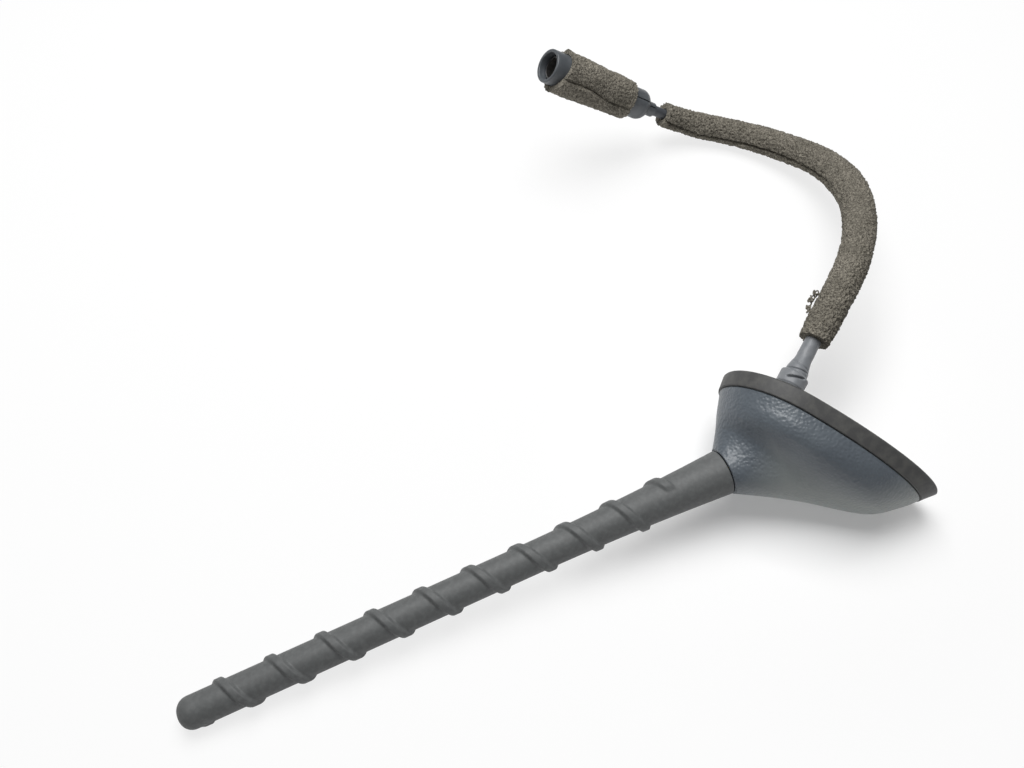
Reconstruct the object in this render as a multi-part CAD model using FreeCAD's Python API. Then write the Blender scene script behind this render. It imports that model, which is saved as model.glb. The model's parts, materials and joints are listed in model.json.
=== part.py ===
import FreeCAD, Part
import math
import os
from FreeCAD import Placement, Rotation, Vector

# A roof antenna for a car: a screw-in flexible mast on a teardrop base, with the
# cable, its foam sleeve and the radio connector below the roof.
# Frame: origin on the stud's axis in the plane where the gasket seals on the roof,
# +Z up from the roof, +X to the nose of the base, +Y to the left. Millimetres.

# Clearances
slip = 0.05            # between pieces that are pushed together
running = 0.2          # between the mast's stud and its socket
soft_gap = 0.3         # between a soft sleeve and what it goes round
seam_gap = 0.35        # the dark line between the mast and the base
weld = 0.5             # how far joined pieces reach into each other
past = 1.0             # how far a cut runs past the face that it opens

# Base outline: an egg of two half ellipses
base_length = 85.0
base_width = 48.8
widest_from_rear = 26.3
stud_from_rear = 22.0

# Gasket
gasket_height = 6.0
gasket_floor = 2.5
gasket_wall = 3.2
gasket_taper = 0.6
gasket_nose_lean = 3.2 # the nose of the rim leans back by this much
gasket_edge_radius = 1.0
gasket_groove_inset = 3.5
gasket_groove_width = 2.0
gasket_groove_depth = 0.8
gasket_relief_radius = 11.0  # clears the raised edge of the hole in the roof
gasket_relief_depth = 0.6

# Mast seat on the base
mast_lean = 54.2       # degrees above the roof plane, leaning to the rear
mast_seat_x = -6.4
mast_seat_z = 32.4
boss_radius = 8.35

# Cover
cover_inset = 1.2
cover_wall = 2.2
cover_boss_radius = 3.2

# Mast
mast_length = 199.0
mast_radius = 5.55
root_radius = 8.1
flare_length = 80.0
tip_flat_radius = 1.0
rib_pitch = 17.6
rib_height = 1.1
rib_sink = 0.6
rib_base_width = 4.8
rib_crown_width = 2.4
rib_start = 21.2       # from the seam
rib_tip_margin = 6.7   # from the tip
rib_start_angle = 99.0
rib_fade_angle = 25.0  # the rib's ends sink into the mast over this turn
rib_sections_per_turn = 16

# Inside the mast
rod_radius = 2.0
rod_tip_margin = 9.0
winding_thickness = 0.4
winding_root_margin = 4.0
winding_tip_margin = 3.0
ferrule_radius = 4.6
ferrule_neck_radius = 3.6
ferrule_length = 18.0
ferrule_groove_width = 2.0
rod_seat_depth = 9.0
stud_thread_radius = 2.5
stud_thread_length = 9.0
o_ring_radius = 3.75
o_ring_thickness = 1.6

# Socket for the mast
socket_radius = 4.6
socket_groove_radius = 4.1
socket_groove_width = 4.0
socket_length = 18.0
socket_bore_depth = 11.0
socket_recess = 1.0

# Base plate and roof stud
plate_gap = 0.2
stud_radius = 6.0
stud_neck_radius = 5.6
stud_length = 6.5
stud_bore_radius = 3.3
stud_chamfer = 0.8

# Circuit board
board_lift = 3.0
board_thickness = 1.6
board_rear = -9.0
board_front = 34.0
board_half_width = 9.0
board_corner = 2.5
board_screw_places = [(-6.0, 6.0), (-6.0, -6.0), (31.0, 0.0)]
board_screw_radius = 0.9
board_screw_depth = 4.0
board_screw_tip_gap = 0.5
board_screw_head_radius = 1.9
board_screw_head_height = 1.3
standoff_radius = 2.2
can_rear = 14.0
can_length = 13.0
can_half_width = 6.5
can_height = 3.5
can_wall = 0.4

# Contact spring between the board and the socket
spring_thickness = 0.4
spring_half_width = 2.0
spring_foot_front = 11.0
spring_foot_length = 5.0
spring_pad_length = 4.0

# Cover screws, driven up through the plate
cover_screw_from_rear = 11.0
cover_screw_from_side = 13.9
cover_screw_from_nose = 19.0
cover_screw_tip_gap = 0.5
cover_screw_radius = 1.4
cover_screw_length = 6.5
cover_screw_head_radius = 2.8
cover_screw_head_height = 1.6

# Cable
cable_radius = 2.25
cable_top = 5.0
wire_radius = 0.6
ferrule_drop = 8.0
ferrule_flange_radius = 4.8
ferrule_flange_thickness = 0.8

# Boot over the cable below the stud
boot_collar_radius = 5.3
boot_collar_length = 5.0
boot_rim = 0.4
boot_shoulder_radius = 4.2
boot_shoulder_length = 1.2
boot_taper_length = 7.0
boot_tube_radius = 2.95
boot_length = 24.5

# Foam sleeve on the cable
foam_radius = 6.5
foam_start = 27.0      # below the roof plane
foam_end_margin = 7.3  # short of the connector

# Connector: it lies on the last run of the cable
connector_rear = Vector(-97.4, -62.8, -109.9)
connector_mouth = Vector(-141.4, -29.9, -85.5)
connector_groove_side = Vector(0.32, 0.83, 0.0)
shell_radius = 7.0
shell_length = 16.0
shell_mouth_radius = 5.6
shell_mouth_depth = 9.0
shell_edge_radius = 0.6
shield_radius = 4.85
shield_wall = 0.45
shield_seat_wall = 1.2  # thicker where it holds the insulator
shield_recess = 3.0
shield_length = 22.0
socket_depth = 10.0
socket_floor_gap = 0.5
insulator_length = 11.0
contact_radius = 1.1
contact_bore_radius = 0.6
contact_bore_depth = 8.0
back_radius = 6.5
back_throat_radius = 3.1
back_tail = 9.5        # the rounded end and the neck behind it
back_round = 4.8
back_stop = 2.0        # wall left behind the insulator
back_groove = 0.5
cable_in_connector = 10.0
crimp_length = 9.0
crimp_wall = 0.8
wrap_thickness = 1.9
wrap_start = 9.0       # from the mouth
wrap_length = 35.0

# The cable's route, from the plate down and along to the connector
route = [
    Vector(0.0, 0.0, cable_top),
    Vector(0.0, 0.0, -20.0),
    Vector(0.3, -0.3, -45.0),
    Vector(1.5, -8.5, -68.0),
    Vector(-0.5, -20.5, -88.5),
    Vector(-7.0, -35.5, -109.0),
    Vector(-21.0, -53.0, -124.0),
    Vector(-43.0, -66.5, -127.5),
    Vector(-62.0, -72.5, -125.5),
]
route_tail = 18.0      # the last corner, this far behind the connector
bend_share = 0.45

up = Vector(0, 0, 1)
origin = Vector(0, 0, 0)
connector_axis = (connector_mouth - connector_rear).normalize()
connector_length = (connector_mouth - connector_rear).Length
route.append(connector_rear - connector_axis * route_tail)
route.append(connector_rear + connector_axis * cable_in_connector)

rear_x = -stud_from_rear
nose_x = base_length - stud_from_rear
cover_screw_x = rear_x + cover_screw_from_rear
cover_screw_y = base_width / 2 - cover_screw_from_side
cover_screw_places = [
    (cover_screw_x, cover_screw_y),
    (cover_screw_x, -cover_screw_y),
    (nose_x - cover_screw_from_nose, 0.0),
]
plate_top = gasket_height
board_bottom = plate_top + board_lift
board_top = board_bottom + board_thickness


def quarter(centre, first, second):
    """A quarter of an ellipse: a rational curve of degree two from first to second."""
    curve = Part.BezierCurve()
    curve.setPoles([centre + first, centre + first + second, centre + second])
    curve.setWeight(2, math.sqrt(0.5))
    return curve.toShape()


def egg(rear, front, half_width, share):
    """A closed egg from rear to front, widest at this share of its length."""
    reach = front - rear
    centre = rear + reach * share
    forward = reach * (1 - share)
    backward = reach * -share
    side = Vector(0, half_width, 0)
    return Part.Wire([
        quarter(centre, forward, side),
        quarter(centre, side, backward),
        quarter(centre, backward, side * -1),
        quarter(centre, side * -1, forward),
    ])


def outline(inset, height, lean=gasket_nose_lean):
    """The base's egg, drawn in by an inset, at a height, with its nose leaning back."""
    rear = Vector(rear_x + inset, 0, height)
    front = Vector(nose_x - inset - lean, 0, height)
    share = (widest_from_rear - inset) / (front.x - rear.x)
    return egg(rear, front, base_width / 2 - inset, share)


def slab(inset, bottom, top):
    """A plate of the base's outline."""
    return Part.Face(outline(inset, bottom)).extrude(Vector(0, 0, top - bottom))


def turned(profile):
    """A solid turned about Z from a closed list of (radius, height) corners."""
    corners = [Vector(radius, 0, height) for radius, height in profile]
    face = Part.Face(Part.makePolygon(corners + corners[:1]))
    return face.revolve(origin, up, 360)


def tube(outer, inner, bottom, top):
    return turned([(inner, bottom), (outer, bottom), (outer, top), (inner, top)])


def rod(radius, bottom, top, x=0.0, y=0.0):
    return Part.makeCylinder(radius, top - bottom, Vector(x, y, bottom))


def fuse_all(shapes):
    return shapes[0].multiFuse(shapes[1:]).removeSplitter()


# The mast's own frame: Z along the mast from the seam, X towards the nose
mast_place = Placement(
    Vector(mast_seat_x, 0, mast_seat_z), Rotation(Vector(0, 1, 0), mast_lean - 90)
)
mast_axis = mast_place.Rotation.multVec(up)
seam_line = mast_place.Rotation.multVec(Vector(1, 0, 0))


def on_mast(shape):
    shape.Placement = mast_place.multiply(shape.Placement)
    return shape


# Base cover

def cover_sections(wall):
    """Eggs from the gasket up to the boss: rear end, front end and half width.

    The skirt stands steep, turns in over a shoulder and rises again as a narrow spine.
    """
    seat = Vector(mast_seat_x, 0, mast_seat_z)
    rim_rear = Vector(rear_x + cover_inset, 0, gasket_height)
    rim_front = Vector(nose_x - cover_inset - gasket_nose_lean, 0, gasket_height)
    boss_rear = seat - seam_line * boss_radius
    boss_front = seat + seam_line * boss_radius
    rim_half = base_width / 2 - cover_inset
    # shares of the way from the rim to the boss: the rear end's rise, the nose's way
    # back and its lift, and what is left of the extra half width
    steps = [
        (0.12, 0.024, 0.064, 1.000),
        (0.28, 0.098, 0.215, 0.990),
        (0.42, 0.182, 0.365, 0.860),
        (0.56, 0.309, 0.485, 0.480),
        (0.73, 0.567, 0.650, 0.160),
        (0.87, 0.811, 0.835, 0.045),
    ]
    widest = (widest_from_rear - cover_inset) / (rim_front.x - rim_rear.x)
    rows = [(rim_rear, rim_front, rim_half, widest)]
    for rise, back, lift, swell in steps:
        rear = rim_rear + (boss_rear - rim_rear) * rise
        front = Vector(
            rim_front.x + (boss_front.x - rim_front.x) * back,
            0,
            rim_front.z + (boss_front.z - rim_front.z) * lift,
        )
        half = boss_radius + (rim_half - boss_radius) * swell
        rows.append((rear, front, half, widest + (0.5 - widest) * rise))
    rows.append((boss_rear, boss_front, boss_radius, 0.5))
    inner = []
    for rear, front, half, share in rows:
        along = (front - rear).normalize() * wall
        inner.append(egg(rear + along, front - along, half - wall, share))
    return inner


def build_cover():
    body = Part.makeLoft(cover_sections(0), True, False)
    walls = cover_sections(cover_wall)
    ceiling = Part.Face(walls[len(walls) // 2]).Surface
    upward = ceiling.Axis if ceiling.Axis.z > 0 else ceiling.Axis * -1
    above = Part.makeBox(base_length, base_length, base_length, Vector(-base_length / 2, -base_length / 2, 0))
    above.Placement = Placement(ceiling.Position, Rotation(up, upward)).multiply(above.Placement)
    hollow = Part.makeLoft(walls, True, False).cut(above)
    below = Part.Face(walls[0]).extrude(Vector(0, 0, -past))
    hollow = hollow.fuse(below)
    for x, y in cover_screw_places:
        hollow = hollow.cut(rod(cover_boss_radius, 0, mast_seat_z, x, y))
    body = body.cut(hollow)
    hole = on_mast(rod(socket_radius, -socket_length - past, past))
    body = body.cut(hole)
    for x, y in cover_screw_places:
        pilot_top = gasket_floor + cover_screw_head_height + cover_screw_length
        body = body.cut(rod(cover_screw_radius + slip, 0, pilot_top + cover_screw_tip_gap, x, y))
    return body


def build_gasket():
    """A rubber tray: a tapered rim round the plate, and a sealing groove below."""
    body = Part.makeLoft(
        [outline(0, 0, 0), outline(gasket_taper, gasket_height)], True, True
    )
    lowest = [e for e in body.Edges if e.BoundBox.ZMax < slip]
    body = body.makeFillet(gasket_edge_radius, lowest)
    body = body.cut(slab(gasket_wall, gasket_floor, gasket_height + past))
    groove = slab(gasket_groove_inset, -past, gasket_groove_depth)
    groove = groove.cut(slab(gasket_groove_inset + gasket_groove_width, -2 * past, gasket_height))
    body = body.cut(groove)
    body = body.cut(rod(gasket_relief_radius, -past, gasket_relief_depth))
    return body.cut(rod(stud_radius + soft_gap, -past, gasket_height))


def build_plate():
    """The cast plate with its hollow stud, standoffs and screw holes."""
    body = slab(gasket_wall + plate_gap, gasket_floor, plate_top)
    stud = turned([
        (0, gasket_floor + weld),
        (stud_neck_radius, gasket_floor + weld),
        (stud_neck_radius, 0),
        (stud_radius, 0),
        (stud_radius, stud_chamfer - stud_length),
        (stud_radius - stud_chamfer, -stud_length),
        (0, -stud_length),
    ])
    posts = [rod(standoff_radius, plate_top - weld, board_bottom, x, y) for x, y in board_screw_places]
    body = fuse_all([body, stud] + posts)
    body = body.cut(rod(stud_bore_radius, -stud_length - past, plate_top + past))
    for x, y in board_screw_places:
        tip = board_top - board_screw_depth - board_thickness
        body = body.cut(rod(board_screw_radius + slip, tip, board_top, x, y))
    for x, y in cover_screw_places:
        body = body.cut(rod(cover_screw_radius + slip, 0, plate_top + past, x, y))
        sink = gasket_floor + cover_screw_head_height
        body = body.cut(rod(cover_screw_head_radius + slip, 0, sink, x, y))
    return body


def build_cover_screws():
    screws = []
    for x, y in cover_screw_places:
        neck = gasket_floor + cover_screw_head_height
        head = rod(cover_screw_head_radius, gasket_floor, neck, x, y)
        shank = rod(cover_screw_radius, gasket_floor, neck + cover_screw_length, x, y)
        screws.append(head.fuse(shank).removeSplitter())
    return Part.makeCompound(screws)


def build_board():
    length = board_front - board_rear
    body = Part.makeBox(
        length, 2 * board_half_width, board_thickness,
        Vector(board_rear, -board_half_width, board_bottom),
    )
    corners = [e for e in body.Edges if abs(e.BoundBox.ZLength - board_thickness) < slip]
    body = body.makeFillet(board_corner, corners)
    for x, y in board_screw_places:
        body = body.cut(rod(board_screw_radius + slip, 0, board_top + past, x, y))
    return body


def build_board_screws():
    screws = []
    for x, y in board_screw_places:
        tip = board_top - board_screw_depth - board_thickness + board_screw_tip_gap
        shank = rod(board_screw_radius, tip, board_top, x, y)
        head = rod(board_screw_head_radius, board_top, board_top + board_screw_head_height, x, y)
        screws.append(head.fuse(shank).removeSplitter())
    return Part.makeCompound(screws)


def build_can():
    """A folded sheet lid, open below, over the amplifier."""
    outside = Part.makeBox(
        can_length, 2 * can_half_width, can_height, Vector(can_rear, -can_half_width, board_top)
    )
    inside = Part.makeBox(
        can_length - 2 * can_wall, 2 * (can_half_width - can_wall), can_height - can_wall,
        Vector(can_rear + can_wall, can_wall - can_half_width, board_top),
    )
    return outside.cut(inside)


def build_socket():
    """The brass insert that the mast screws into."""
    top = -socket_recess
    low = -socket_length
    groove_low = (top + low - socket_groove_width) / 2
    groove_high = groove_low + socket_groove_width
    body = turned([
        (0, low),
        (socket_radius - slip, low),
        (socket_radius - slip, groove_low),
        (socket_groove_radius, groove_low),
        (socket_groove_radius, groove_high),
        (socket_radius - slip, groove_high),
        (socket_radius - slip, top),
        (0, top),
    ])
    bore = rod(stud_thread_radius + running, top - socket_bore_depth, top + past)
    return on_mast(body.cut(bore))


def strip(line, thickness, half_width):
    """A bent strip: a line in the plane y = 0, thickened to both sides and widened along Y."""
    left = []
    right = []
    for i, here in enumerate(line):
        come = (here - line[max(i - 1, 0)])
        go = (line[min(i + 1, len(line) - 1)] - here)
        come = (come if i else go).normalize()
        go = (go if i < len(line) - 1 else come).normalize()
        middle = (come + go).normalize()
        normal = Vector(-middle.z, 0, middle.x)
        reach = thickness / 2 / middle.dot(come)
        left.append(here + normal * reach)
        right.append(here - normal * reach)
    corners = left + right[::-1]
    face = Part.Face(Part.makePolygon(corners + corners[:1]))
    face.translate(Vector(0, -half_width, 0))
    return face.extrude(Vector(0, 2 * half_width, 0))


def build_spring():
    """A leaf from a foot on the board, back and up to a pad under the socket's end."""
    level = board_top + spring_thickness / 2
    pad = mast_place.multVec(Vector(0, 0, -socket_length - slip - spring_thickness / 2))
    half_pad = seam_line * (spring_pad_length / 2)
    heel = Vector(spring_foot_front - spring_foot_length, 0, level)
    line = [Vector(spring_foot_front, 0, level), heel, pad - half_pad, pad + half_pad]
    return strip(line, spring_thickness, spring_half_width)


# Mast

flare_rise = root_radius - mast_radius


def mast_surface_radius(height):
    """Radius of the sheath at a height: a parabola in the flare, then a cylinder."""
    left = max(0, flare_length - height) / (flare_length - seam_gap)
    return mast_radius + flare_rise * left ** 2


def build_sheath_core():
    """The sheath without its rib, turned from a flare, a straight run and a round tip."""
    dome = mast_length - (mast_radius - tip_flat_radius)
    bend = (mast_radius - tip_flat_radius) * math.sqrt(0.5)
    root = Vector(root_radius, 0, seam_gap)
    waist = Vector(mast_radius, 0, (seam_gap + flare_length) / 2)
    plain = Vector(mast_radius, 0, flare_length)
    shoulder = Vector(mast_radius, 0, dome)
    middle = Vector(tip_flat_radius + bend, 0, dome + bend)
    top = Vector(tip_flat_radius, 0, mast_length)
    tip = Vector(0, 0, mast_length)
    foot = Vector(0, 0, seam_gap)
    flare = Part.BezierCurve()
    flare.setPoles([root, waist, plain])
    edges = [flare, Part.LineSegment(plain, shoulder)]
    edges += [Part.Arc(shoulder, middle, top), Part.LineSegment(top, tip)]
    edges += [Part.LineSegment(tip, foot), Part.LineSegment(foot, root)]
    wire = Part.Wire([edge.toShape() for edge in edges])
    return Part.Face(wire).revolve(origin, up, 360)


def build_rib():
    """A right-handed spiral rib, lofted through its section at even turns about the mast.

    Each section stands in a plane through the axis, and the ends sink into the sheath.
    """
    turns = (mast_length - rib_tip_margin - rib_start) / rib_pitch
    count = round(turns * rib_sections_per_turn)
    fade = rib_fade_angle / 360
    sections = []
    for i in range(count + 1):
        turn = turns * i / count
        height = rib_start + rib_pitch * turn
        angle = math.radians(rib_start_angle + 360 * turn)
        out = Vector(math.cos(angle), math.sin(angle), 0)
        full = min(1, min(turn, turns - turn) / fade)
        surface = mast_surface_radius(height)
        foot = out * (surface - rib_sink) + up * height
        crown = out * (surface + rib_height * full - rib_sink / 2 * (1 - full)) + up * height
        wide = up * (rib_base_width / 2)
        narrow = up * (rib_crown_width / 2)
        corners = [foot - wide, crown - narrow, crown + narrow, foot + wide]
        sections.append(Part.makePolygon(corners + corners[:1]))
    return Part.makeLoft(sections, True, True)


winding_radius = rod_radius + winding_thickness
ferrule_top = seam_gap + ferrule_length
rod_bottom = ferrule_top - rod_seat_depth
rod_top = mast_length - rod_tip_margin
winding_bottom = ferrule_top + winding_root_margin
winding_top = rod_top - winding_tip_margin
o_ring_inner = o_ring_radius - o_ring_thickness / 2 - slip
o_ring_outer = o_ring_radius + o_ring_thickness / 2 + slip
o_ring_height = o_ring_thickness + 2 * slip


def ferrule_profile():
    """Half section of the turned ferrule and its stud, from the stud's end."""
    groove = seam_gap + ferrule_length / 2
    return [
        (0, -stud_thread_length),
        (stud_thread_radius, -stud_thread_length),
        (stud_thread_radius, o_ring_height),
        (ferrule_radius, o_ring_height),
        (ferrule_radius, groove - ferrule_groove_width),
        (ferrule_neck_radius, groove - ferrule_groove_width),
        (ferrule_neck_radius, groove + ferrule_groove_width),
        (ferrule_radius, groove + ferrule_groove_width),
        (ferrule_radius, ferrule_top),
        (0, ferrule_top),
    ]


def build_sheath():
    """The moulded skin with its spiral rib, hollow round the ferrule, rod and winding."""
    body = build_sheath_core().fuse(build_rib())
    core = [
        turned(ferrule_profile()),
        rod(rod_radius, rod_bottom, rod_top),
        rod(winding_radius, winding_bottom, winding_top),
        rod(o_ring_outer, 0, o_ring_height),
    ]
    return on_mast(body.cut(fuse_all(core)))


def build_ferrule():
    body = turned(ferrule_profile())
    return on_mast(body.cut(rod(rod_radius, rod_bottom, ferrule_top + past)))


def build_o_ring():
    ring = Part.makeTorus(o_ring_radius, o_ring_thickness / 2 - slip, Vector(0, 0, o_ring_height / 2 + slip))
    return on_mast(ring)


# Cable

def corner_radii(points):
    """The largest arc that each corner of the route takes."""
    radii = []
    for before, here, after in zip(points, points[1:], points[2:]):
        turn = (here - before).getAngle(after - here)
        shorter = min((here - before).Length, (after - here).Length)
        radii.append(bend_share * shorter / math.tan(turn / 2))
    return radii


def route_wire(points, radii):
    """Straight runs joined by tangent arcs."""
    edges = []
    last = points[0]
    for (before, here, after), radius in zip(zip(points, points[1:], points[2:]), radii):
        come = (here - before).normalize()
        go = (after - here).normalize()
        half = come.getAngle(go) / 2
        cut = radius * math.tan(half)
        first = here - come * cut
        second = here + go * cut
        inward = (go - come).normalize()
        middle = here + inward * (radius / math.cos(half) - radius)
        edges.append(Part.LineSegment(last, first).toShape())
        edges.append(Part.Arc(first, middle, second).toShape())
        last = second
    edges.append(Part.LineSegment(last, points[-1]).toShape())
    return Part.Wire(edges)


def along(points, radii, radius):
    """A round solid that follows a route, checked against its section times its length."""
    wire = route_wire(points, radii)
    direction = (points[1] - points[0]).normalize()
    ring = Part.Wire([Part.makeCircle(radius, points[0], direction)])
    solid = wire.makePipeShell([ring], True, True)
    share = solid.Volume / (math.pi * radius ** 2 * wire.Length)
    print("route length", round(wire.Length, 1), "volume share", round(share, 4))
    return solid


cord_radii = corner_radii(route)
print("cord radii", [round(r, 1) for r in cord_radii])


def sleeve_points():
    """The part of the route that the foam covers."""
    first = route[1]
    second = route[2]
    share = (-foam_start - first.z) / (second.z - first.z)
    start = first + (second - first) * share
    end = connector_rear - connector_axis * foam_end_margin
    return [start] + route[2:-1] + [end]


def build_foam_sleeve():
    points = sleeve_points()
    radii = cord_radii[1:]
    body = along(points, radii, foam_radius)
    return body.cut(along(points, radii, boot_tube_radius + soft_gap))


def build_boot():
    """The collar and shrunk tube over the cable, below the stud."""
    inner = cable_radius + soft_gap
    top = -stud_length
    collar = top - boot_collar_length
    shoulder = collar - boot_shoulder_length
    bottom = top - boot_length
    return turned([
        (inner, top),
        (boot_collar_radius - boot_rim, top),
        (boot_collar_radius, top - boot_rim),
        (boot_collar_radius, collar),
        (boot_shoulder_radius, shoulder),
        (boot_tube_radius, shoulder - boot_taper_length),
        (boot_tube_radius, bottom),
        (inner, bottom),
    ])


def build_cable_ferrule():
    """A flanged tube that grips the end of the cable in the stud."""
    inner = cable_radius + slip
    outer = stud_bore_radius - slip
    high = plate_top + ferrule_flange_thickness
    return turned([
        (inner, plate_top - ferrule_drop),
        (outer, plate_top - ferrule_drop),
        (outer, plate_top),
        (ferrule_flange_radius, plate_top),
        (ferrule_flange_radius, high),
        (inner, high),
    ])


# Connector: its own frame has Z out of the mouth, with the mouth at zero

def connector_place():
    side = connector_groove_side - connector_axis * connector_groove_side.dot(connector_axis)
    side.normalize()
    across = connector_axis.cross(side)
    turn = Rotation(side, across, connector_axis, "ZXY")
    return Placement(connector_mouth, turn)


def on_connector(shape):
    shape.Placement = connector_place().multiply(shape.Placement)
    return shape


shield_inner = shield_radius - shield_wall
shield_seat = shield_radius - shield_seat_wall
shield_rear = -shield_recess - shield_length
socket_floor = -shield_recess - socket_depth
insulator_front = socket_floor - socket_floor_gap
insulator_rear = insulator_front - insulator_length
cable_end = cable_in_connector - connector_length
back_front = -shell_length


def build_shell():
    edge = shell_edge_radius
    throat = shield_radius + slip
    return on_connector(turned([
        (shell_mouth_radius + edge, 0),
        (shell_radius - edge, 0),
        (shell_radius, -edge),
        (shell_radius, -shell_length),
        (throat, -shell_length),
        (throat, -shell_mouth_depth),
        (shell_mouth_radius, -shell_mouth_depth),
        (shell_mouth_radius, -edge),
    ]))


def build_back_halves():
    """Two half shells with a groove between them, closing round the cable."""
    tail = -connector_length
    bore = shield_radius + slip
    crimp = cable_radius + slip + crimp_wall + slip
    shoulder = tail + back_tail
    outer = [
        Vector(bore, 0, back_front),
        Vector(back_radius, 0, back_front),
        Vector(back_radius, 0, shoulder),
    ]
    bend = math.sqrt(0.5)
    swing = back_radius - back_throat_radius
    middle = Vector(back_throat_radius + swing * bend, 0, shoulder - back_round * bend)
    foot = Vector(back_throat_radius, 0, shoulder - back_round)
    inner = [
        Vector(back_throat_radius, 0, tail),
        Vector(cable_radius + soft_gap, 0, tail),
        Vector(cable_radius + soft_gap, 0, cable_end - crimp_length / 2),
        Vector(crimp, 0, cable_end - crimp_length / 2),
        Vector(crimp, 0, insulator_rear - back_stop),
        Vector(bore, 0, insulator_rear - back_stop),
        outer[0],
    ]
    edges = Part.makePolygon(outer).Edges
    edges.append(Part.Arc(outer[2], middle, foot).toShape())
    edges += Part.makePolygon([foot] + inner).Edges
    body = Part.Face(Part.Wire(edges)).revolve(origin, up, 360)
    size = 2 * connector_length
    halves = []
    for side in (1, -1):
        keep = Part.makeBox(size, size, size, Vector(-size / 2, 0, -size))
        if side < 0:
            keep.translate(Vector(0, -size, 0))
        keep.translate(Vector(0, side * back_groove / 2, 0))
        halves.append(on_connector(body.common(keep)))
    return halves


def build_contact():
    """The centre contact: a tube in front, a wire at the back up to the cable's end."""
    front = rod(contact_radius, insulator_rear - weld, insulator_front)
    hole = rod(contact_bore_radius, insulator_front - contact_bore_depth, insulator_front + past)
    wire = rod(wire_radius, cable_end, insulator_rear)
    return on_connector(front.fuse(wire).removeSplitter().cut(hole))


def build_shield():
    """The outer contact: a tube with a step that seats the insulator."""
    return on_connector(turned([
        (shield_inner, -shield_recess),
        (shield_radius, -shield_recess),
        (shield_radius, shield_rear),
        (shield_seat, shield_rear),
        (shield_seat, socket_floor),
        (shield_inner, socket_floor),
    ]))


def build_crimp():
    inner = cable_radius + slip
    middle = cable_end
    return on_connector(
        tube(inner + crimp_wall, inner, middle - crimp_length / 2, middle + crimp_length / 2)
    )


def build_wrap():
    inner = shell_radius + soft_gap
    return on_connector(tube(inner + wrap_thickness, inner, -wrap_start - wrap_length, -wrap_start))


half_a, half_b = build_back_halves()
nodes = {
    "mast_sheath": build_sheath(),
    "mast_rod": on_mast(rod(rod_radius, rod_bottom, rod_top)),
    "mast_winding": on_mast(tube(winding_radius, rod_radius, winding_bottom, winding_top)),
    "mast_ferrule": build_ferrule(),
    "mast_o_ring": build_o_ring(),
    "base_cover": build_cover(),
    "gasket": build_gasket(),
    "base_plate": build_plate(),
    "mast_socket": build_socket(),
    "contact_spring": build_spring(),
    "amplifier_board": build_board(),
    "shield_can": build_can(),
    "board_screws": build_board_screws(),
    "cover_screws": build_cover_screws(),
    "cable_ferrule": build_cable_ferrule(),
    "centre_wire": rod(wire_radius, cable_top, board_bottom),
    "cable_boot": build_boot(),
    "coax_cable": along(route, cord_radii, cable_radius),
    "foam_sleeve": build_foam_sleeve(),
    "connector_shell": build_shell(),
    "connector_half_upper": half_a,
    "connector_half_lower": half_b,
    "connector_insulator": on_connector(
        tube(shield_seat - slip, contact_radius + slip, insulator_rear, insulator_front)
    ),
    "connector_contact": build_contact(),
    "connector_shield": build_shield(),
    "connector_crimp": build_crimp(),
    "connector_foam": build_wrap(),
}

os.makedirs("parts", exist_ok=True)
for name, shape in nodes.items():
    box = shape.BoundBox
    print(name, shape.isValid(), len(shape.Solids), round(shape.Volume, 1),
          [round(v, 1) for v in (box.XMin, box.XMax, box.YMin, box.YMax, box.ZMin, box.ZMax)])
    shape.exportStep("parts/" + name + ".step")
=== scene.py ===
# %% [markdown]
# # A roof antenna, dressed from its CAD frame
# The CAD model gives every solid its size and place. This lesson gives those solids their looks:
# a ribbed rubber mast, a grained plastic cover, a rubber gasket, a shrunk tube, foam and a cable.
# They could be sculpted by hand. Here each new piece is a surface with a formula instead, so its
# shape can be read, measured against the CAD and changed in a few lines.

# %% Load the frame
import json
import math
import bpy
import numpy as np
from mathutils import Matrix


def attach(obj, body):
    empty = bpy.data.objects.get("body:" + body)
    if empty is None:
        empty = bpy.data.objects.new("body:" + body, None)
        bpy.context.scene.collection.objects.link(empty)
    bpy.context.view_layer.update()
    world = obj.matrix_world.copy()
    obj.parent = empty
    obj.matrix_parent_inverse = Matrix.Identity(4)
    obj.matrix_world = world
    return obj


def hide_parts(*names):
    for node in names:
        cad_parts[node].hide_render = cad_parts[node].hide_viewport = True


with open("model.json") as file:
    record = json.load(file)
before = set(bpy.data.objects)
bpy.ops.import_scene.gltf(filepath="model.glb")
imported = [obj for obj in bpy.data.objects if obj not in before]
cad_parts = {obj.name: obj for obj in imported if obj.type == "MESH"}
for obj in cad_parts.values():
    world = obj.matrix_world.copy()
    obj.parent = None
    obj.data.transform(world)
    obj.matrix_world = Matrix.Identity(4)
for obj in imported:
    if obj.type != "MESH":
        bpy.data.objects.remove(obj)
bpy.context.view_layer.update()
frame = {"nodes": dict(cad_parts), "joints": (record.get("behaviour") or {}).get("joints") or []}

nodes = frame["nodes"]
MM = 0.001

# %% [markdown]
# ## Small tools
# Sizes below are in millimetres and become metres when a mesh is made. Colours are written as the
# eye sees them, in sRGB hex, and turned to linear light here. A few lines of vector arithmetic and
# two kinds of noise, a soft one and a cellular one, are enough for every piece.

# %% Vectors, steps and splines
def linear(hex_colour):
    """Linear RGBA of an sRGB colour such as "#4b4d4d"."""
    raw = np.array([int(hex_colour[i:i + 2], 16) for i in (1, 3, 5)]) / 255
    light = np.where(raw <= 0.04045, raw / 12.92, ((raw + 0.055) / 1.055) ** 2.4)
    return (*light.tolist(), 1.0)


def unit(vectors):
    vectors = np.asarray(vectors, float)
    return vectors / np.linalg.norm(vectors, axis=-1, keepdims=True)


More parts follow.
